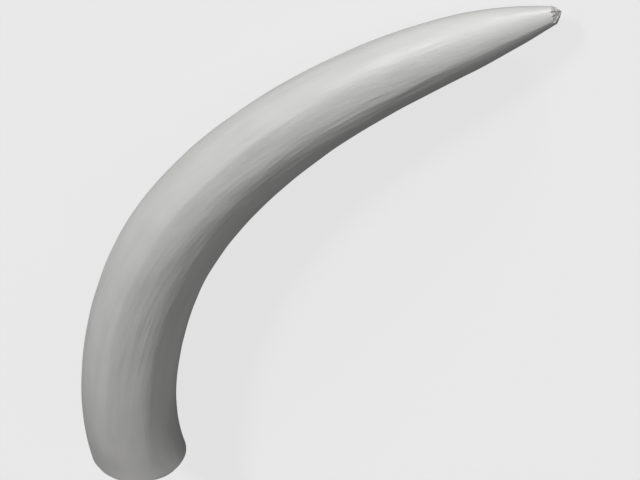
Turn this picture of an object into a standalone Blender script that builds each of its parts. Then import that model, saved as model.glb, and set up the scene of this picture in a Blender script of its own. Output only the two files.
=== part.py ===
"""An elephant's tusk, sawn off at the root and broken at the tip, lying on its side.

One piece of ivory: a bent, tapering horn of nearly round section, with shallow flats and low edges that run
along it, a conical pulp cavity that opens in the sawn face, and a tip that is broken off to a short point.
Metres. +Z is up from the surface that the tusk rests on. From its sawn root the tusk runs along +Y and bends
towards +X. The origin is on the surface, under the middle of the tusk's box.
"""

import math

import bmesh
import bpy
from mathutils import Matrix, Vector

# The tusk's length along its centreline, from the sawn face to the rim of the break
LENGTH = 0.840

# How fast the centreline turns, in degrees per metre, at even steps from root to tip
TURN_RATES = (198, 83, 114, 75, 71, 51)

# Radius in metres at shares of the length
GIRTH = (
    (0.00, 0.0574),
    (0.20, 0.0559),
    (0.40, 0.0523),
    (0.60, 0.0445),
    (0.80, 0.0343),
    (0.90, 0.0267),
    (0.96, 0.0174),
    (1.00, 0.0083),
)

# The saw cut is askew: its slope towards the hollow side and upwards, and the share of the length over which
# the sections come square again
CUT_SLOPE_HOLLOW = -0.176
CUT_SLOPE_UP = 0.103
CUT_FADE_SHARE = 0.16

# Waves round the section that make its flats: how many, depth as a share of the radius, angle of the first
# crest at the root, and how far it has drifted round by the tip, in degrees
FLATS = (
    (2, 0.010, 20, 40),
    (3, 0.008, 75, -30),
    (5, 0.004, 20, 60),
)

# Long edges and swells of the skin. Each row has the angles round the section that it runs through, from the
# hollow side up, and its heights in metres, both at even steps from root to tip, then its half width in
# degrees.
EDGES = (
    ((36, 47, 52, 70, 74, 76), (0.0014, 0.0016, 0.0010, 0.0004, 0.0008, 0.0004), 16),
    ((86, 99, 106, 114, 121, 120), (0.0012, 0.0017, 0.0017, 0.0013, 0.0002, 0.0000), 12.5),
)
SWELLS = (
    ((46, 46, 51, 56, 55, 53), (0.0004, 0.0006, 0.0000, -0.0008, 0.0004, 0.0002), 19),
    ((135, 136, 137, 146, 155, 145), (-0.0008, -0.0004, 0.0000, 0.0006, 0.0008, 0.0004), 21),
    ((215, 215, 215, 215, 215, 215), (0.0002, 0.0009, 0.0009, 0.0006, 0.0000, 0.0000), 12),
    ((300, 300, 300, 300, 300, 300), (-0.0001, -0.0007, -0.0007, -0.0006, -0.0002, 0.0000), 10),
)
# How much of an edge's half width is rounded off at its crest
EDGE_ROUND = 0.14

# The skin is worn down at the root, on the upper side: angle and half width in degrees, depth in metres, and
# reach as a share of the length
ROOT_WEAR_ANGLE = 100
ROOT_WEAR_HALF_WIDTH = 40
ROOT_WEAR_DEPTH = 0.0020
ROOT_WEAR_REACH = 0.057

# Broken tip: past the rim the ivory is torn to a short, blunt point off the middle, with a notch in its upper
# side. Hollowness is the power by which its sides fall in: under 1 they bulge, over 1 they are hollow.
POINT_RISE = 0.0069
POINT_OFF_MIDDLE = 0.0013
POINT_ANGLE = math.radians(200)
POINT_BLUNT_SHARE = 0.05
BREAK_HOLLOWNESS = 0.80
BREAK_RINGS = 6
NOTCH_ANGLE = 98
NOTCH_HALF_WIDTH = 34
NOTCH_HOLLOWNESS = 0.55

# Pulp cavity
MOUTH_RADIUS = 0.0360
CAVITY_DEPTH_SHARE = 0.20
CAVITY_END_RADIUS = 0.0050
CAVITY_RINGS = 10
CAVITY_TIP_RISE = 0.0040

# How the tusk's own plane leans, in degrees, where it rests on its side
LEAN_ABOUT_Y = 4.37
LEAN_ABOUT_X = 0.91

SIDES = 48
RINGS = 56
TURN_STEPS = 240
SHARP_ANGLE = math.radians(40)

IVORY_COLOUR = (0.60, 0.59, 0.57, 1.0)
IVORY_ROUGHNESS = 0.42


def smooth_between(stations, share):
    """Value at a share of the length, on a smooth curve through (share, value) stations."""
    last = len(stations) - 1
    i = min(last - 1, sum(1 for s, _ in stations[1:] if s < share))

    def slope_at(k):
        (sa, va), (sb, vb) = stations[max(0, k - 1)], stations[min(last, k + 1)]
        return (vb - va) / (sb - sa)

    (s0, v0), (s1, v1) = stations[i], stations[i + 1]
    span = s1 - s0
    t = (share - s0) / span
    return (
        v0 * (2 * t**3 - 3 * t**2 + 1)
        + slope_at(i) * span * (t**3 - 2 * t**2 + t)
        + v1 * (3 * t**2 - 2 * t**3)
        + slope_at(i + 1) * span * (t**3 - t**2)
    )


def smooth_step(low, high, value):
    """0 below low, 1 above high, and an even rise between."""
    t = min(1.0, max(0.0, (value - low) / (high - low)))
    return t * t * (3 - 2 * t)


def walk_centreline():
    """Points and headings of the centreline at even steps. It starts at (0, 0), heads +Y and bends to +X."""
    rates = [(i / (len(TURN_RATES) - 1), rate) for i, rate in enumerate(TURN_RATES)]
    step = LENGTH / TURN_STEPS
    point, heading = Vector((0, 0, 0)), 0.0
    walked = [(point, heading)]
    for i in range(TURN_STEPS):
        turn = math.radians(smooth_between(rates, (i + 0.5) / TURN_STEPS) * step)
        middle = heading + turn / 2
        point = point + step * Vector((math.sin(middle), math.cos(middle), 0))
        heading += turn
        walked.append((point, heading))
    return walked


CENTRELINE = walk_centreline()


def section_frame(share):
    """Centre of the section at a share of the length, and the ways along the tusk and to its hollow side."""
    place = min(1.0, max(0.0, share)) * TURN_STEPS
    i = min(TURN_STEPS - 1, int(place))
    t = place - i
    (p0, h0), (p1, h1) = CENTRELINE[i], CENTRELINE[i + 1]
    heading = h0 + (h1 - h0) * t
    along = Vector((math.sin(heading), math.cos(heading), 0))
    hollow = Vector((math.cos(heading), -math.sin(heading), 0))
    return p0.lerp(p1, t), along, hollow


def section_point(share, angle, radius, rise=0.0):
    """A point at an angle round the section, from the hollow side up, and a rise along the tusk past it."""
    centre, along, hollow = section_frame(share)
    across = radius * math.cos(angle)
    up = radius * math.sin(angle)
    askew = 1 - smooth_step(0, CUT_FADE_SHARE, share)
    rise += askew * (CUT_SLOPE_HOLLOW * across + CUT_SLOPE_UP * up)
    return centre + across * hollow + Vector((0, 0, up)) + rise * along


def angle_between(a, b):
    """The smaller angle in degrees between two directions in degrees."""
    return abs((a - b + 180) % 360 - 180)


def even_stations(values):
    """(share, value) stations for values at even steps from root to tip."""
    return [(i / (len(values) - 1), value) for i, value in enumerate(values)]


def edge_profile(across):
    return math.exp(-math.sqrt(across**2 + EDGE_ROUND**2))


def swell_profile(across):
    return math.exp(-(across**2))


def long_marks(rows, profile, share, degrees):
    """Height of the edges or swells in a table at one place, each with the given profile across it."""
    height = 0
    for angles, heights, half_width in rows:
        middle = smooth_between(even_stations(angles), share)
        across = angle_between(degrees, middle) / half_width
        height += smooth_between(even_stations(heights), share) * profile(across)
    return height


def root_wear(share, degrees):
    """Depth by which the skin is worn down near the saw cut."""
    across = angle_between(degrees, ROOT_WEAR_ANGLE) / ROOT_WEAR_HALF_WIDTH
    return ROOT_WEAR_DEPTH * swell_profile(across) * (1 - smooth_step(0, ROOT_WEAR_REACH, share))


def skin_radius(share, angle):
    """Radius of the tusk's skin, with its flats, edges, swells and wear."""
    degrees = math.degrees(angle)
    radius = smooth_between(GIRTH, share)
    for waves, depth, crest, drift in FLATS:
        radius *= 1 + depth * math.cos(math.radians(waves * (degrees - crest - drift * share)))
    radius += long_marks(EDGES, edge_profile, share, degrees)
    radius += long_marks(SWELLS, swell_profile, share, degrees)
    return radius - root_wear(share, degrees)


def skin_ring(share):
    return lambda angle: section_point(share, angle, skin_radius(share, angle))


def break_ring(t):
    """A ring of the break, from the rim at 0 to the blunt point at 1."""

    def where(angle):
        notch = swell_profile(angle_between(math.degrees(angle), NOTCH_ANGLE) / NOTCH_HALF_WIDTH)
        share = (1 - t) ** (BREAK_HOLLOWNESS + NOTCH_HOLLOWNESS * notch)
        radius = max(share, POINT_BLUNT_SHARE * t) * skin_radius(1, angle)
        across = radius * math.cos(angle) + t * POINT_OFF_MIDDLE * math.cos(POINT_ANGLE)
        up = radius * math.sin(angle) + t * POINT_OFF_MIDDLE * math.sin(POINT_ANGLE)
        return section_point(1, math.atan2(up, across), math.hypot(across, up), POINT_RISE * t)

    return where


def cavity_ring(share):
    """A ring of the cavity's wall, which narrows evenly and then closes in a round end."""
    depth = share * CAVITY_DEPTH_SHARE
    radius = MOUTH_RADIUS + (CAVITY_END_RADIUS - MOUTH_RADIUS) * share
    return lambda angle: section_point(depth, angle, radius)


def next_ring(bm, place, edges, where):
    """Extrudes a ring of edges and puts each new vertex where the given function says for its angle."""
    made = bmesh.ops.extrude_edge_only(bm, edges=edges)["geom"]
    for vertex in made:
        if isinstance(vertex, bmesh.types.BMVert):
            vertex.co = where(2 * math.pi * vertex[place] / SIDES)
    return [edge for edge in made if isinstance(edge, bmesh.types.BMEdge) and edge.is_boundary]


def close_ring(bm, place, edges, point):
    """Closes a ring of edges with a fan of faces to one point."""
    last = next_ring(bm, place, edges, lambda angle: point)
    bmesh.ops.pointmerge(bm, verts=list({v for edge in last for v in edge.verts}), merge_co=point)


def build_tusk_mesh():
    """The tusk in its own plane: skin, broken tip, sawn face and pulp cavity, all one closed shell."""
    bm = bmesh.new()
    place = bm.verts.layers.int.new("place")
    circle = bmesh.ops.create_circle(bm, segments=SIDES, radius=MOUTH_RADIUS)["verts"]
    mouth = skin_ring(0)
    for i, vertex in enumerate(circle):
        vertex[place] = i
        vertex.co = mouth(2 * math.pi * i / SIDES)
    root_edges = list(bm.edges)

    edges = root_edges
    for i in range(RINGS):
        edges = next_ring(bm, place, edges, skin_ring((i + 1) / RINGS))
    for i in range(BREAK_RINGS):
        edges = next_ring(bm, place, edges, break_ring((i + 1) / BREAK_RINGS))
    close_ring(bm, place, edges, section_point(1, POINT_ANGLE, POINT_OFF_MIDDLE, POINT_RISE))

    edges = root_edges
    for i in range(CAVITY_RINGS + 1):
        edges = next_ring(bm, place, edges, cavity_ring(i / CAVITY_RINGS))
    end, along, _ = section_frame(CAVITY_DEPTH_SHARE)
    close_ring(bm, place, edges, end + CAVITY_TIP_RISE * along)

    bmesh.ops.recalc_face_normals(bm, faces=bm.faces)
    mesh = bpy.data.meshes.new("tusk")
    bm.to_mesh(mesh)
    bm.free()
    return mesh


def ivory_material():
    material = bpy.data.materials.new("ivory")
    material.use_nodes = True
    shader = material.node_tree.nodes["Principled BSDF"]
    shader.inputs["Base Color"].default_value = IVORY_COLOUR
    shader.inputs["Roughness"].default_value = IVORY_ROUGHNESS
    shader.inputs["Metallic"].default_value = 0.0
    return material


def lay_down(tusk):
    """Leans the tusk as it rests on its side, and brings the origin to the surface under its middle."""
    lean = Matrix.Rotation(math.radians(LEAN_ABOUT_X), 4, "X") @ Matrix.Rotation(
        math.radians(LEAN_ABOUT_Y), 4, "Y"
    )
    corners = [lean @ vertex.co for vertex in tusk.data.vertices]
    low = Vector(min(corner[axis] for corner in corners) for axis in range(3))
    high = Vector(max(corner[axis] for corner in corners) for axis in range(3))
    middle = (low + high) / 2
    tusk.matrix_world = Matrix.Translation((-middle.x, -middle.y, -low.z)) @ lean


def main():
    for old in list(bpy.data.objects):
        bpy.data.objects.remove(old)
    mesh = build_tusk_mesh()
    mesh.shade_smooth()
    mesh.set_sharp_from_angle(angle=SHARP_ANGLE)
    mesh.materials.append(ivory_material())
    tusk = bpy.data.objects.new("tusk", mesh)
    bpy.context.scene.collection.objects.link(tusk)
    lay_down(tusk)


main()
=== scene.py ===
import math

import bmesh
import bpy
from mathutils import Matrix, Vector, noise


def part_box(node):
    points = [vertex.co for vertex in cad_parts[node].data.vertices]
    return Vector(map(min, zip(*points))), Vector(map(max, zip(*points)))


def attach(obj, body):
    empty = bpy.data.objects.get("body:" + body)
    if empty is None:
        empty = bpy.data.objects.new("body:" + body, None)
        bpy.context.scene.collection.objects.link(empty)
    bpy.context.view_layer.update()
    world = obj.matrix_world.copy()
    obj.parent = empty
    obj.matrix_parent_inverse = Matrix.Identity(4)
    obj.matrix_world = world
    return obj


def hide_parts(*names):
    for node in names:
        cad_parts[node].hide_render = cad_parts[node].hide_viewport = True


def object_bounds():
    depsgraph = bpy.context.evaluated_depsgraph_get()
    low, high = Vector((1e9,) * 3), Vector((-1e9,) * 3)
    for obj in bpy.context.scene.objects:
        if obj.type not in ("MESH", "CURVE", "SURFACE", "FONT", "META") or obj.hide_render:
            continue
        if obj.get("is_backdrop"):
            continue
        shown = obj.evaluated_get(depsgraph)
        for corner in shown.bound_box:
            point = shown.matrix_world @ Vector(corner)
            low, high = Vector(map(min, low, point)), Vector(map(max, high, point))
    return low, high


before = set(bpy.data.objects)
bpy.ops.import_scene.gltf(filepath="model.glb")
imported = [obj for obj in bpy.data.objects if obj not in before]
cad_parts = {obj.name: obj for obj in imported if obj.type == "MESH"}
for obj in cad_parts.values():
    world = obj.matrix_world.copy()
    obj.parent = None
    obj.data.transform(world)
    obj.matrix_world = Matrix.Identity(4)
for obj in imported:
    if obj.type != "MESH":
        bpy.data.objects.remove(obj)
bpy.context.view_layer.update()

# The tusk
# An elephant's long upper tooth: one bent, tapering horn of ivory that grew in layers from the pulp inside it.
# It was sawn off across the root, where the pulp left a hollow, and its tip was broken in use.

LENGTH = 0.840

# How fast the centreline turns, in degrees per metre, at even steps from root to tip
TURN_RATES = (198, 83, 114, 75, 71, 51)
TURN_STEPS = 240

# Radius in metres at shares of the length
GIRTH = (
    (0.00, 0.0574),
    (0.20, 0.0559),
    (0.40, 0.0523),
    (0.60, 0.0445),
    (0.80, 0.0343),
    (0.90, 0.0267),
    (0.96, 0.0174),
    (1.00, 0.0083),
)

# The saw cut is askew: its slope towards the hollow side and upwards, and the share of the length over which
# the sections come square again
CUT_SLOPE_HOLLOW = -0.176
CUT_SLOPE_UP = 0.103
CUT_FADE_SHARE = 0.16

# Waves round the section that make its flats: how many, depth as a share of the radius, angle of the first
# crest at the root, and how far it has drifted round by the tip, in degrees
FLATS = (
    (2, 0.010, 20, 40),
    (3, 0.008, 75, -30),
    (5, 0.004, 20, 60),
)

# Long edges and swells of the skin. Each row has the angles round the section that it runs through, from the
# hollow side up, and its heights in metres, both at even steps from root to tip, then its half width in
# degrees.
EDGES = (
    ((36, 47, 52, 70, 74, 76), (0.0014, 0.0016, 0.0010, 0.0004, 0.0008, 0.0004), 16),
    ((86, 99, 106, 114, 121, 120), (0.0012, 0.0017, 0.0017, 0.0013, 0.0002, 0.0000), 12.5),
)
SWELLS = (
    ((46, 46, 51, 56, 55, 53), (0.0004, 0.0006, 0.0000, -0.0008, 0.0004, 0.0002), 19),
    ((135, 136, 137, 146, 155, 145), (-0.0008, -0.0004, 0.0000, 0.0006, 0.0008, 0.0004), 21),
    ((215, 215, 215, 215, 215, 215), (0.0002, 0.0009, 0.0009, 0.0006, 0.0000, 0.0000), 12),
    ((300, 300, 300, 300, 300, 300), (-0.0001, -0.0007, -0.0007, -0.0006, -0.0002, 0.0000), 10),
)
# How much of an edge's half width is rounded off at its crest
EDGE_ROUND = 0.14

# The skin is worn down at the root, on the upper side: angle and half width in degrees, depth in metres, and
# reach as a share of the length
ROOT_WEAR_ANGLE = 100
ROOT_WEAR_HALF_WIDTH = 40
ROOT_WEAR_DEPTH = 0.0020
ROOT_WEAR_REACH = 0.057

# The skin is worn this much under the full girth, in metres
SKIN_WEAR = 0.00030
# Fine relief of the worn skin: width across the tusk, length along it, and height, in metres
SKIN_RELIEF = (
    (0.060, 0.160, 0.00030),
    (0.030, 0.070, 0.00035),
    (0.014, 0.036, 0.00034),
    (0.022, 0.300, 0.00012),
    (0.090, 0.017, 0.00004),
)
# Long, narrow facets with creases between them, left by rubbing along the tusk, in the same measures
CREASES = (
    (0.0110, 0.240, 0.00034),
    (0.0048, 0.090, 0.00021),
)
# Scratches along the tusk, in the same measures
SCRATCH_RELIEF = ((0.0032, 0.045, 0.00014), (0.0050, 0.080, 0.00008))
# Facets and scratches are deepest round this angle, within this half width, in degrees. This share of them is
# left elsewhere, and this share at the root, from which they grow between these shares of the length.
RUBBED_ANGLE = 70
RUBBED_HALF_WIDTH = 24
RUBBED_ELSEWHERE = 0.35
RUBBED_AT_ROOT = 0.25
RUBBED_FROM_ROOT = (0.08, 0.35)
# Towards the tip, between these shares of the length, the skin is worn this much smoother
SMOOTH_TO_TIP = (0.84, 0.97)
SMOOTHED_AT_TIP = 0.85
# Each row of a table of relief or creases takes its noise this far from the last row's
RELIEF_OFFSET = 7
CREASE_OFFSET = 5

# Points round each ring of the shell, and rings along the skin
SIDES = 320
SKIN_RINGS = 220


def smooth_between(stations, share):
    """Value at a share of the length, on a smooth curve through (share, value) stations."""
    last = len(stations) - 1
    i = min(last - 1, sum(1 for s, _ in stations[1:] if s < share))

    def slope_at(k):
        (sa, va), (sb, vb) = stations[max(0, k - 1)], stations[min(last, k + 1)]
        return (vb - va) / (sb - sa)

    (s0, v0), (s1, v1) = stations[i], stations[i + 1]
    span = s1 - s0
    t = (share - s0) / span
    return (
        v0 * (2 * t**3 - 3 * t**2 + 1)
        + slope_at(i) * span * (t**3 - 2 * t**2 + t)
        + v1 * (3 * t**2 - 2 * t**3)
        + slope_at(i + 1) * span * (t**3 - t**2)
    )


def smooth_step(low, high, value):
    """0 below low, 1 above high, and an even rise between."""
    t = min(1.0, max(0.0, (value - low) / (high - low)))
    return t * t * (3 - 2 * t)


def walk_centreline():
    """Points and headings of the centreline at even steps. It starts at (0, 0), heads +Y and bends to +X."""
    rates = [(i / (len(TURN_RATES) - 1), rate) for i, rate in enumerate(TURN_RATES)]
    step = LENGTH / TURN_STEPS
    point, heading = Vector((0, 0, 0)), 0.0
    walked = [(point, heading)]
    for i in range(TURN_STEPS):
        turn = math.radians(smooth_between(rates, (i + 0.5) / TURN_STEPS) * step)
        middle = heading + turn / 2
        point = point + step * Vector((math.sin(middle), math.cos(middle), 0))
        heading += turn
        walked.append((point, heading))
    return walked


centreline = walk_centreline()


def angle_between(a, b):
    """The smaller angle in degrees between two directions in degrees."""
    return abs((a - b + 180) % 360 - 180)


def edge_profile(across):
    return math.exp(-math.sqrt(across**2 + EDGE_ROUND**2))


def swell_profile(across):
    return math.exp(-(across**2))


def marks_at(rows, share):
    """Angle, height and half width of each edge or swell in a table, at a share of the length."""

    def along(values):
        return smooth_between([(i / (len(values) - 1), value) for i, value in enumerate(values)], share)

    return [(along(angles), along(heights), half_width) for angles, heights, half_width in rows]


class Section:
    """One section of the tusk: its centre, the way along the tusk, the way to its hollow side, and its form."""

    def __init__(self, share):
        self.share = share
        place = min(1.0, max(0.0, share)) * TURN_STEPS
        i = min(TURN_STEPS - 1, int(place))
        (p0, h0), (p1, h1) = centreline[i], centreline[i + 1]
        heading = h0 + (h1 - h0) * (place - i)
        self.centre = p0.lerp(p1, place - i)
        self.along = Vector((math.sin(heading), math.cos(heading), 0))
        self.hollow = Vector((math.cos(heading), -math.sin(heading), 0))
        self.askew = 1 - smooth_step(0, CUT_FADE_SHARE, share)
        self.girth = smooth_between(GIRTH, share)
        self.edges = marks_at(EDGES, share)
        self.swells = marks_at(SWELLS, share)
        self.root_wear = ROOT_WEAR_DEPTH * (1 - smooth_step(0, ROOT_WEAR_REACH, share))
        self.uneven = 1 - SMOOTHED_AT_TIP * smooth_step(*SMOOTH_TO_TIP, share)
        from_root = smooth_step(*RUBBED_FROM_ROOT, share)
        self.rubbed = (RUBBED_AT_ROOT + (1 - RUBBED_AT_ROOT) * from_root) * self.uneven

    def point(self, angle, radius, rise=0.0):
        """Its place in the bent tusk and in the tusk as if unbent, at an angle from the hollow side up."""
        across, up = radius * math.cos(angle), radius * math.sin(angle)
        slant = self.askew * (CUT_SLOPE_HOLLOW * across + CUT_SLOPE_UP * up)
        bent = self.centre + across * self.hollow + Vector((0, 0, up)) + (rise + slant) * self.along
        return bent, Vector((across, up, self.share * LENGTH + rise))


def relief_at(table, place):
    """Height of the fine relief in a table at an unbent place."""
    return sum(
        height
        * noise.noise(Vector((place.x / across + RELIEF_OFFSET * i, place.y / across, place.z / along)))
        for i, (across, along, height) in enumerate(table)
    )


def creases_at(table, place):
    """Height of narrow facets that meet in creases, at an unbent place."""
    return sum(
        height
        * abs(noise.noise(Vector((place.x / across + CREASE_OFFSET * i, place.y / across, place.z / along))))
        for i, (across, along, height) in enumerate(table)
    )


def skin_radius(section, angle):
    """Radius of the skin, with its flats, edges, swells, wear and fine relief."""
    degrees = math.degrees(angle)
    radius = section.girth - SKIN_WEAR
    for waves, depth, crest, drift in FLATS:
        radius *= 1 + depth * math.cos(math.radians(waves * (degrees - crest - drift * section.share)))
    for middle, height, half_width in section.edges:
        radius += height * edge_profile(angle_between(degrees, middle) / half_width)
    for middle, height, half_width in section.swells:
        radius += height * swell_profile(angle_between(degrees, middle) / half_width)
    radius -= section.root_wear * swell_profile(
        angle_between(degrees, ROOT_WEAR_ANGLE) / ROOT_WEAR_HALF_WIDTH
    )
    place = section.point(angle, radius)[1]
    rubbed = swell_profile(angle_between(degrees, RUBBED_ANGLE) / RUBBED_HALF_WIDTH)
    rubbed = RUBBED_ELSEWHERE + (1 - RUBBED_ELSEWHERE) * rubbed
    rubbed *= section.rubbed
    facets = relief_at(SCRATCH_RELIEF, place) - creases_at(CREASES, place)
    return radius + section.uneven * relief_at(SKIN_RELIEF, place) + rubbed * facets


# Each finish has a number, by which the faces of the one shell take it
SKIN, SAWN, PULP_WALL, BREAK = range(4)

shell = bmesh.new()
place_round = shell.verts.layers.int.new("place_round")
unbent = shell.verts.layers.float_vector.new("unbent")


def put(vertex, where):
    """Moves a vertex of the shell to where the given function says for its place round the tusk."""
    vertex.co, vertex[unbent] = where(2 * math.pi * vertex[place_round] / SIDES)


def next_ring(edges, where, finish):
    """Extrudes a ring of edges, puts the new ring where the given function says, and gives its faces a finish."""
    made = bmesh.ops.extrude_edge_only(shell, edges=edges)["geom"]
    for part in made:
        if isinstance(part, bmesh.types.BMVert):
            put(part, where)
        if isinstance(part, bmesh.types.BMFace):
            part.material_index = finish
    return [part for part in made if isinstance(part, bmesh.types.BMEdge) and part.is_boundary]


def close_ring(edges, where, finish):
    """Closes a ring of edges with a fan of faces to one point."""
    last = next_ring(edges, where, finish)
    verts = list({vertex for edge in last for vertex in edge.verts})
    bmesh.ops.pointmerge(shell, verts=verts, merge_co=verts[0].co.copy())


# The skin, from the worn edge of the saw cut to the rim of the break
RIM_ROUND = 0.0009
RIM_STEPS = 3
# The rings of the skin stand closer together towards the tip by this power
RING_CROWDING = 1.3
# From this share of the length the skin is chipped towards the rim of the break, by waves round the tusk: how
# many, height in metres, and phase
CHIPPED_FROM = 0.996
RIM_CHIPS = (
    (7, 0.0004, 1.0),
    (13, 0.0003, 0.3),
    (23, 0.0002, 2.0),
)


def rim_ring(turn):
    """The rounded edge between the sawn face and the skin, at a turn from 0 on the face to 1 on the skin."""
    section = Section(0)
    inset = RIM_ROUND * (1 - math.sin(turn * math.pi / 2))
    rise = RIM_ROUND * (1 - math.cos(turn * math.pi / 2))
    return lambda angle: section.point(angle, skin_radius(section, angle) - inset, rise)


def waves_round(table, angle):
    """Sum of waves round the tusk, from rows of how many, height and phase."""
    return sum(height * math.sin(waves * angle + phase) for waves, height, phase in table)


def skin_ring(share):
    section = Section(share)
    chipped = smooth_step(CHIPPED_FROM, 1, share)
    return lambda angle: section.point(
        angle, skin_radius(section, angle), chipped * waves_round(RIM_CHIPS, angle)
    )


first_turn = rim_ring(0)
for i, vertex in enumerate(bmesh.ops.create_circle(shell, segments=SIDES, radius=GIRTH[0][1])["verts"]):
    vertex[place_round] = i
    put(vertex, first_turn)
root_edges = list(shell.edges)

edges = root_edges
for i in range(RIM_STEPS):
    edges = next_ring(edges, rim_ring((i + 1) / RIM_STEPS), SKIN)
for i in range(SKIN_RINGS):
    edges = next_ring(edges, skin_ring(1 - (1 - (i + 1) / SKIN_RINGS) ** RING_CROWDING), SKIN)

# The broken tip: past the rim the ivory is torn to a short, blunt point off the middle. In a notch in its upper
# side the layers that it grew in broke off in steps.
# The point: how far it rises past the rim and lies off the middle in metres, the way that it is off, and the
# size of its blunt end as a share of the radius
POINT_RISE = 0.0069
POINT_OFF_MIDDLE = 0.0013
POINT_ANGLE = math.radians(200)
POINT_BLUNT_SHARE = 0.05
# Between rim and point the break is straight at 1, bulges below it and is hollow above it. The notch adds to it.
BREAK_STEPS = 26
BREAK_HOLLOWNESS = 0.80
NOTCH_ANGLE = 98
NOTCH_HALF_WIDTH = 34
NOTCH_HOLLOWNESS = 0.55
# The layers: how many from rim to point, how many a turn round the tusk crosses, their height in metres, and
# the share of it that is left outside the notch
LAYERS = 4
LAYER_SLANT = 3
LAYER_HEIGHT = 0.00050
LAYERS_ELSEWHERE = 0.10
# Splinters: width across the tusk, length along it, and height, in metres
SPLINTERS = ((0.0016, 0.0060, 0.00035), (0.0007, 0.0020, 0.00014))
tip = Section(1)
point_across = Vector((math.cos(POINT_ANGLE), math.sin(POINT_ANGLE))) * POINT_OFF_MIDDLE


def break_ring(t):
    """A ring of the break, from the rim at 0 to the blunt point at 1."""

    def where(angle):
        notch = swell_profile(angle_between(math.degrees(angle), NOTCH_ANGLE) / NOTCH_HALF_WIDTH)
        share = (1 - t) ** (BREAK_HOLLOWNESS + NOTCH_HOLLOWNESS * notch)
        torn = math.sin(math.pi * t) * (LAYERS_ELSEWHERE + (1 - LAYERS_ELSEWHERE) * notch)
        torn *= LAYER_HEIGHT * math.sin(2 * math.pi * LAYERS * t + LAYER_SLANT * angle)
        radius = max(share, POINT_BLUNT_SHARE * t) * skin_radius(tip, angle) + torn
        spot = Vector((radius * math.cos(angle), radius * math.sin(angle))) + t * point_across
        rise = POINT_RISE * t + (1 - t) * waves_round(RIM_CHIPS, angle)
        rise += math.sin(math.pi * t) * relief_at(SPLINTERS, Vector((*spot, rise)))
        return tip.point(math.atan2(spot.y, spot.x), spot.length, rise)

    return where


for i in range(BREAK_STEPS):
    edges = next_ring(edges, break_ring((i + 1) / BREAK_STEPS), BREAK)
close_ring(edges, lambda angle: tip.point(POINT_ANGLE, POINT_OFF_MIDDLE, POINT_RISE), BREAK)

# The sawn face, and the pulp cavity that opens in it
MOUTH_RADIUS = 0.0360
MOUTH_ROUND = 0.0012
FACE_STEPS = 6
CAVITY_DEPTH_SHARE = 0.20
CAVITY_END_RADIUS = 0.0050
CAVITY_TIP_RISE = 0.0040
CAVITY_RINGS = 40
# Marks of growth on the wall: width across the tusk, length along it, and height, in metres
WALL_RELIEF = (
    (0.050, 0.007, 0.00035),
    (0.006, 0.060, 0.00020),
    (0.030, 0.040, 0.00070),
)
# Shares of the cavity's depth over which the marks start and end
MARKS_START = (0, 0.06)
MARKS_END = (0.9, 1)


def face_ring(t):
    """A ring of the flat sawn face, from its outer edge at 0 to its edge at the mouth at 1."""
    section = Section(0)

    def where(angle):
        outer = skin_radius(section, angle) - RIM_ROUND
        return section.point(angle, outer + (MOUTH_RADIUS + MOUTH_ROUND - outer) * t)

    return where


def cavity_ring(t):
    """A ring of the cavity's wall, from its mouth at 0 to its narrow end at 1, with the marks of growth."""
    section = Section(t * CAVITY_DEPTH_SHARE)
    radius = MOUTH_RADIUS + (CAVITY_END_RADIUS - MOUTH_RADIUS) * t
    marked = smooth_step(*MARKS_START, t) * (1 - smooth_step(*MARKS_END, t))

    def where(angle):
        rough = marked * relief_at(WALL_RELIEF, section.point(angle, radius)[1])
        return section.point(angle, radius + rough, MOUTH_ROUND if t == 0 else 0)

    return where


edges = root_edges
for i in range(FACE_STEPS):
    edges = next_ring(edges, face_ring((i + 1) / FACE_STEPS), SAWN)
for i in range(CAVITY_RINGS + 1):
    edges = next_ring(edges, cavity_ring(i / CAVITY_RINGS), PULP_WALL)
cavity_end = Section(CAVITY_DEPTH_SHARE)
close_ring(edges, lambda angle: cavity_end.point(angle, 0, CAVITY_TIP_RISE), PULP_WALL)

# Edges that turn by more degrees than this stay sharp
SHARP_FROM = 50

bmesh.ops.recalc_face_normals(shell, faces=shell.faces)
tusk_mesh = bpy.data.meshes.new("ivory_tusk")
shell.to_mesh(tusk_mesh)
shell.free()
tusk_mesh.shade_smooth()
tusk_mesh.set_sharp_from_angle(angle=math.radians(SHARP_FROM))


# Finishes. Patterns follow the tusk by the unbent places of its points, so that their marks run along it.
def new_finish(name, roughness, specular):
    """A material with its node tree, shader and the two gloss values that are the same all over."""
    material = bpy.data.materials.new(name)
    material.use_nodes = True
    tree = material.node_tree
    shader = tree.nodes["Principled BSDF"]
    shader.inputs["Roughness"].default_value = roughness
    shader.inputs["Specular IOR Level"].default_value = specular
    return material, tree, shader


def unbent_place(tree, across, along):
    """Unbent places, scaled so that a pattern's marks come out as wide and as long as asked, in metres."""
    attribute = tree.nodes.new("ShaderNodeAttribute")
    attribute.attribute_name = "unbent"
    mapping = tree.nodes.new("ShaderNodeMapping")
    mapping.inputs["Scale"].default_value = (1 / across, 1 / across, 1 / along)
    tree.links.new(attribute.outputs["Vector"], mapping.inputs["Vector"])
    return mapping.outputs["Vector"]


def streaks(tree, across, along, detail=3.0):
    """Soft noise drawn out along the tusk, from 0 to 1."""
    texture = tree.nodes.new("ShaderNodeTexNoise")
    texture.inputs["Scale"].default_value = 1.0
    texture.inputs["Detail"].default_value = detail
    tree.links.new(unbent_place(tree, across, along), texture.inputs["Vector"])
    return texture.outputs["Fac"]


def remap(tree, value, low, high, to_low=0.0, to_high=1.0):
    """Takes values between low and high to other limits, with a smooth rise."""
    node = tree.nodes.new("ShaderNodeMapRange")
    node.interpolation_type = "SMOOTHSTEP"
    for socket, number in zip(("From Min", "From Max", "To Min", "To Max"), (low, high, to_low, to_high)):
        node.inputs[socket].default_value = number
    tree.links.new(value, node.inputs["Value"])
    return node.outputs["Result"]


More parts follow.
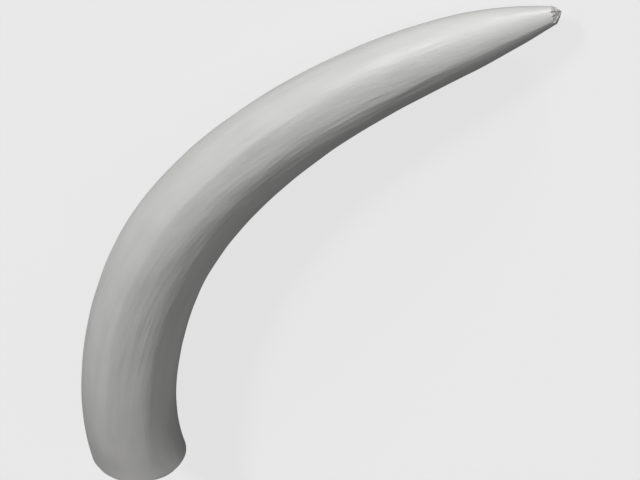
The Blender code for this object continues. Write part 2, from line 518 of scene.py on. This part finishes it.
def calculate(tree, operation, first, second=0.0):
    """One step of arithmetic between two values, each a number or a socket."""
    node = tree.nodes.new("ShaderNodeMath")
    node.operation = operation
    for socket, value in zip(node.inputs, (first, second)):
        if isinstance(value, (int, float)):
            socket.default_value = value
        else:
            tree.links.new(value, socket)
    return node.outputs["Value"]


def tint(tree, colour, other, share):
    """Mixes a colour towards another by a share that varies over the surface."""
    node = tree.nodes.new("ShaderNodeMix")
    node.data_type = "RGBA"
    tree.links.new(share, node.inputs["Factor"])
    for socket, value in ((node.inputs[6], colour), (node.inputs[7], other)):
        if isinstance(value, tuple):
            socket.default_value = (*value, 1.0)
        else:
            tree.links.new(value, socket)
    return node.outputs[2]


def raise_by(tree, height, metres, under=None):
    """A bump of so many metres from a height that goes from 0 to 1, over another bump."""
    node = tree.nodes.new("ShaderNodeBump")
    node.inputs["Strength"].default_value = 1.0
    node.inputs["Distance"].default_value = metres
    tree.links.new(height, node.inputs["Height"])
    if under:
        tree.links.new(under, node.inputs["Normal"])
    return node.outputs["Normal"]


# Hairlines are broken up by patches that are wider and shorter than they are by this much, between these values
# of the patches' noise
GAP_STRETCH = 3
GAP_LIMITS = (0.50, 0.62)


def hairlines(tree, across, along, fineness):
    """Thin, broken lines along the tusk, 1 on a line and 0 beside it."""
    wander = streaks(tree, across, along, detail=1.0)
    off_line = calculate(tree, "ABSOLUTE", calculate(tree, "SUBTRACT", wander, 0.5))
    line = remap(tree, off_line, 0.0, fineness, 1.0, 0.0)
    broken = remap(tree, streaks(tree, across * GAP_STRETCH, along / GAP_STRETCH), *GAP_LIMITS)
    return calculate(tree, "MULTIPLY", line, broken)


# Skin: worn smooth, pale, with faint long streaks, a root darkened by painted shade and fine drying lines
IVORY_PALE = (0.416, 0.414, 0.410)
IVORY_GREY = (0.371, 0.369, 0.365)
# This darker colour serves both the stains and the painted shade at the root
IVORY_STAIN_AND_SHADE = (0.335, 0.332, 0.326)
IVORY_LINE = (0.246, 0.240, 0.230)
# Painted shade: the root is tinted this much further towards the darker colour, as far along as this in metres,
# for the shade that falls on it
ROOT_PAINTED_SHADE = 0.8
ROOT_PAINTED_SHADE_REACH = 0.20
# The patterns: each size is the width across and length along the tusk in metres, limits are the values of noise
# between which a pattern rises, a share is how far it tints at most, and heights and depths are in metres
STREAK_SIZE = (0.012, 0.25)
STREAK_LIMITS = (0.35, 0.75)
STREAK_SHARE = 0.7
CLOUD_SIZE = (0.05, 0.09)
CLOUD_LIMITS = (0.50, 0.80)
CLOUD_SHARE = 0.35
LINE_SIZE = (0.009, 0.40)
LINE_FINENESS = 0.006
LINE_SHARE = 0.15
LINE_DEPTH = 0.00005
WORN_SIZE = (0.006, 0.06)
WORN_LIMITS = (0.3, 0.7)
WORN_ROUGHNESS = (0.45, 0.56)
GRAIN_SIZE = (0.0018, 0.040)
GRAIN_HEIGHT = 0.00018
PORE_SIZE = (0.0040, 0.0070)
PORE_HEIGHT = 0.00010


def make_skin_finish():
    material, tree, shader = new_finish("ivory skin", roughness=0.50, specular=0.7)
    soft = remap(tree, streaks(tree, *STREAK_SIZE), *STREAK_LIMITS, 0.0, STREAK_SHARE)
    colour = tint(tree, IVORY_PALE, IVORY_GREY, soft)
    clouds = remap(tree, streaks(tree, *CLOUD_SIZE, detail=4.0), *CLOUD_LIMITS, 0.0, CLOUD_SHARE)
    colour = tint(tree, colour, IVORY_STAIN_AND_SHADE, clouds)
    place = tree.nodes.new("ShaderNodeSeparateXYZ")
    tree.links.new(unbent_place(tree, 1, 1), place.inputs["Vector"])
    # Painted shade: the skin is tinted darker towards the root
    painted_root_shade = remap(tree, place.outputs["Z"], 0, ROOT_PAINTED_SHADE_REACH, ROOT_PAINTED_SHADE, 0.0)
    colour = tint(tree, colour, IVORY_STAIN_AND_SHADE, painted_root_shade)
    lines = hairlines(tree, *LINE_SIZE, LINE_FINENESS)
    colour = tint(tree, colour, IVORY_LINE, calculate(tree, "MULTIPLY", lines, LINE_SHARE))
    tree.links.new(colour, shader.inputs["Base Color"])
    worn = remap(tree, streaks(tree, *WORN_SIZE), *WORN_LIMITS, *WORN_ROUGHNESS)
    tree.links.new(worn, shader.inputs["Roughness"])
    normal = raise_by(tree, streaks(tree, *GRAIN_SIZE, detail=4.0), GRAIN_HEIGHT)
    normal = raise_by(tree, streaks(tree, *PORE_SIZE, detail=4.0), PORE_HEIGHT, normal)
    tree.links.new(raise_by(tree, lines, -LINE_DEPTH, normal), shader.inputs["Normal"])
    return material


# Sawn face: denser, yellower ivory with growth rings, the crossing arcs of ivory, a darker bark at its edge, and
# saw marks
SAWN_PALE = (0.600, 0.575, 0.520)
SAWN_ARC = (0.520, 0.490, 0.430)
SAWN_BARK = (0.380, 0.345, 0.290)
# How many arcs stand round the face, how fast they wind outwards, and how far they tint
ARCS_ROUND = 56
ARC_WINDING = 70
ARC_SHARE = 0.45
GROWTH_RING_SPACING = 0.0035
GROWTH_RING_SHARE = 0.30
# The bark starts this far inside the root's girth and is at its darkest from the second distance out, in metres
BARK_START = 0.0045
BARK_FULL = 0.0030
BARK_SHARE = 0.8
# The saw marks' wave turns by one radian in so many metres. The texture's own turns by ten in a metre.
SAW_MARK_RADIAN = 0.0022
SAW_MARK_DEPTH = 0.00020
SAW_MARK_DISTORTION = 1.5
SAW_MARK_DETAIL = 3.0
TEXTURE_RADIANS = 10


def make_sawn_finish():
    material, tree, shader = new_finish("sawn ivory", roughness=0.50, specular=0.4)
    attribute = tree.nodes.new("ShaderNodeAttribute")
    attribute.attribute_name = "unbent"
    split = tree.nodes.new("ShaderNodeSeparateXYZ")
    tree.links.new(attribute.outputs["Vector"], split.inputs["Vector"])
    across, up = split.outputs["X"], split.outputs["Y"]
    across_squared = calculate(tree, "MULTIPLY", across, across)
    up_squared = calculate(tree, "MULTIPLY", up, up)
    radius = calculate(tree, "SQRT", calculate(tree, "ADD", across_squared, up_squared))
    turn = calculate(tree, "MULTIPLY", calculate(tree, "ARCTAN2", up, across), ARCS_ROUND)
    spiral = calculate(tree, "MULTIPLY", calculate(tree, "LOGARITHM", radius, math.e), ARC_WINDING)
    one_way = calculate(tree, "SINE", calculate(tree, "ADD", turn, spiral))
    other_way = calculate(tree, "SINE", calculate(tree, "SUBTRACT", turn, spiral))
    arcs = remap(tree, calculate(tree, "MULTIPLY", one_way, other_way), -1, 1, 0.0, ARC_SHARE)
    ring_turn = calculate(tree, "MULTIPLY", radius, 2 * math.pi / GROWTH_RING_SPACING)
    rings = calculate(tree, "SINE", ring_turn)
    colour = tint(tree, SAWN_PALE, SAWN_ARC, arcs)
    colour = tint(tree, colour, SAWN_ARC, remap(tree, rings, -1, 1, 0.0, GROWTH_RING_SHARE))
    root_girth = GIRTH[0][1]
    bark = remap(tree, radius, root_girth - BARK_START, root_girth - BARK_FULL, 0.0, BARK_SHARE)
    colour = tint(tree, colour, SAWN_BARK, bark)
    tree.links.new(colour, shader.inputs["Base Color"])
    wave = tree.nodes.new("ShaderNodeTexWave")
    wave.bands_direction = "DIAGONAL"
    wave.inputs["Scale"].default_value = 1 / SAW_MARK_RADIAN / TEXTURE_RADIANS
    wave.inputs["Distortion"].default_value = SAW_MARK_DISTORTION
    wave.inputs["Detail"].default_value = SAW_MARK_DETAIL
    tree.links.new(attribute.outputs["Vector"], wave.inputs["Vector"])
    tree.links.new(raise_by(tree, wave.outputs["Fac"], SAW_MARK_DEPTH), shader.inputs["Normal"])
    return material


# Pulp wall: dull and stained, with fine rings of growth
WALL_PALE = (0.460, 0.430, 0.375)
WALL_DARK = (0.300, 0.265, 0.215)
WALL_STAIN_SIZE = (0.020, 0.012)
WALL_STAIN_LIMITS = (0.35, 0.70)
WALL_RING_SIZE = (0.020, 0.0018)
WALL_RING_HEIGHT = 0.00050


def make_wall_finish():
    material, tree, shader = new_finish("pulp cavity wall", roughness=0.70, specular=0.3)
    stain = remap(tree, streaks(tree, *WALL_STAIN_SIZE, detail=5.0), *WALL_STAIN_LIMITS)
    tree.links.new(tint(tree, WALL_PALE, WALL_DARK, stain), shader.inputs["Base Color"])
    normal = raise_by(tree, streaks(tree, *WALL_RING_SIZE, detail=4.0), WALL_RING_HEIGHT)
    tree.links.new(normal, shader.inputs["Normal"])
    return material


# Break: bare splintered ivory, rougher and duller than the skin, and darker between its fibres
BREAK_PALE = (0.345, 0.341, 0.333)
BREAK_DARK = (0.200, 0.195, 0.186)
FIBRE_SIZE = (0.0011, 0.0060)
FIBRE_LIMITS = (0.42, 0.70)
FIBRE_HEIGHT = 0.0003


def make_break_finish():
    material, tree, shader = new_finish("broken ivory", roughness=0.70, specular=0.3)
    fibres = streaks(tree, *FIBRE_SIZE, detail=4.0)
    colour = tint(tree, BREAK_PALE, BREAK_DARK, remap(tree, fibres, *FIBRE_LIMITS))
    tree.links.new(colour, shader.inputs["Base Color"])
    tree.links.new(raise_by(tree, fibres, FIBRE_HEIGHT), shader.inputs["Normal"])
    return material


for make in (make_skin_finish, make_sawn_finish, make_wall_finish, make_break_finish):
    tusk_mesh.materials.append(make())

# How the tusk's own plane leans, in degrees, where it rests on its side
LEAN_ABOUT_Y = 4.37
LEAN_ABOUT_X = 0.91

lean = Matrix.Rotation(math.radians(LEAN_ABOUT_X), 4, "X") @ Matrix.Rotation(math.radians(LEAN_ABOUT_Y), 4, "Y")
tusk_mesh.transform(lean)
low = Vector([min(vertex.co[axis] for vertex in tusk_mesh.vertices) for axis in range(3)])
high = Vector([max(vertex.co[axis] for vertex in tusk_mesh.vertices) for axis in range(3)])
cad_tusk_low, cad_tusk_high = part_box("tusk")
shift = (cad_tusk_low + cad_tusk_high - low - high) / 2
shift.z = cad_tusk_low.z - low.z
tusk_mesh.transform(Matrix.Translation(shift))

tusk = bpy.data.objects.new("ivory_tusk", tusk_mesh)
bpy.context.scene.collection.objects.link(tusk)
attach(tusk, "root")
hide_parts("tusk")

# The floor
# The plain sheet of a light table: its own colour is dark and most of its paleness is its glow, so that the
# tusk's shadow on it stays faint. It sends no light back to the tusk and isn't mirrored in it. Far off it turns
# up to a wall of the same sheet, which hides nothing from the lamps.
FLOOR_RADIUS = 60.0
WALL_HEIGHT = 60.0
FLOOR_SIDES = 96
# It lies this far under the tusk, in metres
FLOOR_GAP = 0.0002
FLOOR_COLOUR = (0.10, 0.10, 0.10, 1.0)
FLOOR_GLOW = 0.727

sheet = bmesh.new()
bmesh.ops.create_circle(sheet, cap_ends=True, segments=FLOOR_SIDES, radius=FLOOR_RADIUS)
wall = bmesh.ops.extrude_edge_only(sheet, edges=sheet.edges)["geom"]
wall_top = [part for part in wall if isinstance(part, bmesh.types.BMVert)]
bmesh.ops.translate(sheet, verts=wall_top, vec=(0, 0, WALL_HEIGHT))
floor_mesh = bpy.data.meshes.new("floor")
sheet.to_mesh(floor_mesh)
sheet.free()
floor_finish, _, floor_shader = new_finish("light table", roughness=0.9, specular=0.0)
floor_shader.inputs["Base Color"].default_value = FLOOR_COLOUR
floor_shader.inputs["Emission Color"].default_value = (1.0, 1.0, 1.0, 1.0)
floor_shader.inputs["Emission Strength"].default_value = FLOOR_GLOW
floor_mesh.materials.append(floor_finish)
floor = bpy.data.objects.new("floor", floor_mesh)
floor.location.z = cad_tusk_low.z - FLOOR_GAP
floor.visible_diffuse = False
floor.visible_glossy = False
floor.visible_shadow = False
bpy.context.scene.collection.objects.link(floor)
floor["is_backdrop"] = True

# The light
# Soft, even light from far off, as from broad panels: the main one is low and comes from the top of the picture,
# one comes from its left, and a weaker one from its right. The room adds a little from all sides.
LAMPS = (
    # name, direction it shines from: degrees round from +X and degrees up, its width in degrees, and strength
    ("main", 78, 10, 7, 3.00),
    ("left", 120, 38, 10, 2.02),
    ("right", 14, 35, 30, 0.80),
)
ROOM_LIGHT = 0.14

for name, azimuth, elevation, width, strength in LAMPS:
    lamp = bpy.data.lights.new(name, "SUN")
    lamp.angle = math.radians(width)
    lamp.energy = strength
    stand = bpy.data.objects.new(name, lamp)
    stand.rotation_euler = (0, math.radians(90 - elevation), math.radians(azimuth))
    bpy.context.scene.collection.objects.link(stand)

# A small spotlight lights the sawn face, which the other lamps don't reach
ROOT_SPOT_PLACE = Vector((-0.36, -1.30, 0.30))
ROOT_SPOT_AIM = Vector((-0.245, -0.270, 0.058))
ROOT_SPOT_WIDTH = 14
ROOT_SPOT_RADIUS = 0.06
ROOT_SPOT_WATTS = 13.0

root_spot = bpy.data.lights.new("root spot", "SPOT")
root_spot.spot_size = math.radians(ROOT_SPOT_WIDTH)
root_spot.spot_blend = 1.0
root_spot.shadow_soft_size = ROOT_SPOT_RADIUS
root_spot.energy = ROOT_SPOT_WATTS
root_stand = bpy.data.objects.new("root spot", root_spot)
root_stand.location = ROOT_SPOT_PLACE
root_stand.rotation_euler = (ROOT_SPOT_PLACE - ROOT_SPOT_AIM).to_track_quat("Z", "Y").to_euler()
bpy.context.scene.collection.objects.link(root_stand)

room = bpy.data.worlds.new("pale room")
room.use_nodes = True
room_shader = room.node_tree.nodes["Background"]
room_shader.inputs["Color"].default_value = (1.0, 1.0, 1.0, 1.0)
room_shader.inputs["Strength"].default_value = ROOM_LIGHT
bpy.context.scene.world = room
bpy.context.scene.view_settings.view_transform = "Standard"

# The camera
# It looks down on the tusk from beyond its tip, on the outer side of the bend, turned so that the root is below
# and the tip to the upper right, as in the picture.
CAMERA_PLACE = Vector((0.49614, 0.69527, 0.97488))
CAMERA_BACK = Vector((0.36641, 0.53095, 0.76409)).normalized()
CAMERA_RIGHT = Vector((0.92955, -0.17265, -0.32578)).normalized()
CAMERA_LENS_MM = 67.18
CAMERA_SENSOR_MM = 36.0

camera = bpy.data.cameras.new("camera")
camera.lens = CAMERA_LENS_MM
camera.sensor_width = CAMERA_SENSOR_MM
camera.sensor_fit = "HORIZONTAL"
camera.clip_start = 0.05
camera.clip_end = 100.0
tripod = bpy.data.objects.new("camera", camera)
upward = CAMERA_BACK.cross(CAMERA_RIGHT).normalized()
rightward = upward.cross(CAMERA_BACK)
tripod.matrix_world = Matrix.Translation(CAMERA_PLACE) @ Matrix(
    (rightward, upward, CAMERA_BACK)
).transposed().to_4x4()
bpy.context.scene.collection.objects.link(tripod)
bpy.context.scene.camera = tripod

low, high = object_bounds()
